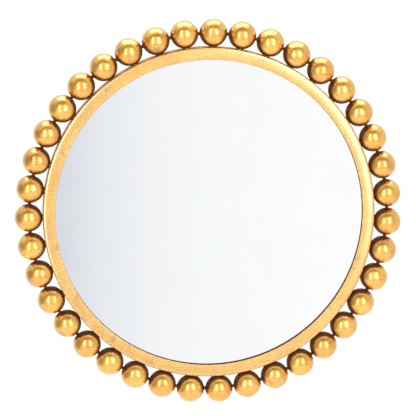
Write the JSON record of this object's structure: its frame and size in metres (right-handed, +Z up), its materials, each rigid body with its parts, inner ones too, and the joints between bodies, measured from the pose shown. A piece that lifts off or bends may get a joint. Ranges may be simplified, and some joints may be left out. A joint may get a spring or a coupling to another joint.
{
  "type": "round wall mirror",
  "caption": "Round wall mirror in a flat gilded steel hoop, framed by a ring of gilded hollow balls, with D-ring hangers on the back.",
  "frame": {"origin": "on the mirror's axis, in the wall plane that the bumper pads rest on", "axes": "+Z up, -Y towards the room, +X to the right as seen from the room"},
  "size_m": [0.7, 0.0515, 0.6999],
  "materials": {
    "gilded_ball": "antique gold leaf over steel, satin",
    "gilded_hoop": "antique gold leaf over steel, soft sheen",
    "gilded_pin": "gilded brazed steel, darkened",
    "foam": "closed-cell foam",
    "mirror_glass": "silvered float glass",
    "fibreboard": "raw fibreboard",
    "zinc_steel": "zinc plated",
    "clear_bumper": "clear soft plastic"
  },
  "bodies": {
    "mirror_body": {"ball_01": "gilded_ball", "ball_02": "gilded_ball", "ball_03": "gilded_ball", "ball_04": "gilded_ball", "ball_05": "gilded_ball", "ball_06": "gilded_ball", "ball_07": "gilded_ball", "ball_08": "gilded_ball", "ball_09": "gilded_ball", "ball_10": "gilded_ball", "ball_11": "gilded_ball", "ball_12": "gilded_ball", "ball_13": "gilded_ball", "ball_14": "gilded_ball", "ball_15": "gilded_ball", "ball_16": "gilded_ball", "ball_17": "gilded_ball", "ball_18": "gilded_ball", "ball_19": "gilded_ball", "ball_20": "gilded_ball", "ball_21": "gilded_ball", "ball_22": "gilded_ball", "ball_23": "gilded_ball", "ball_24": "gilded_ball", "ball_25": "gilded_ball", "ball_26": "gilded_ball", "ball_27": "gilded_ball", "ball_28": "gilded_ball", "ball_29": "gilded_ball", "ball_30": "gilded_ball", "ball_31": "gilded_ball", "ball_32": "gilded_ball", "ball_33": "gilded_ball", "ball_34": "gilded_ball", "ball_35": "gilded_ball", "ball_36": "gilded_ball", "ball_37": "gilded_ball", "ball_38": "gilded_ball", "ball_39": "gilded_ball", "front_ring": "gilded_hoop", "side_band": "gilded_hoop", "ball_link_pins": "gilded_pin", "ball_pegs": "gilded_pin", "foam_tape": "foam", "mirror_glass": "mirror_glass", "backing_board": "fibreboard", "clip_screws": "zinc_steel", "hanger_screws": "zinc_steel", "hanger_strap_left": "zinc_steel", "hanger_strap_right": "zinc_steel", "wall_pads": "clear_bumper", "clip_1": "zinc_steel", "clip_2": "zinc_steel", "clip_3": "zinc_steel", "clip_4": "zinc_steel", "clip_5": "zinc_steel", "clip_6": "zinc_steel"},
    "ring_left": {"d_ring_left": "zinc_steel"},
    "ring_right": {"d_ring_right": "zinc_steel"}
  },
  "joints": [
    {"name": "ring_left_swing", "type": "hinge", "parent": "mirror_body", "child": "ring_left", "pos_m": [-0.15, -0.02115, 0.14], "axis": [1, 0, 0], "range_deg": [0, 180]},
    {"name": "ring_right_swing", "type": "hinge", "parent": "mirror_body", "child": "ring_right", "pos_m": [0.15, -0.02115, 0.14], "axis": [1, 0, 0], "range_deg": [0, 180]}
  ]
}
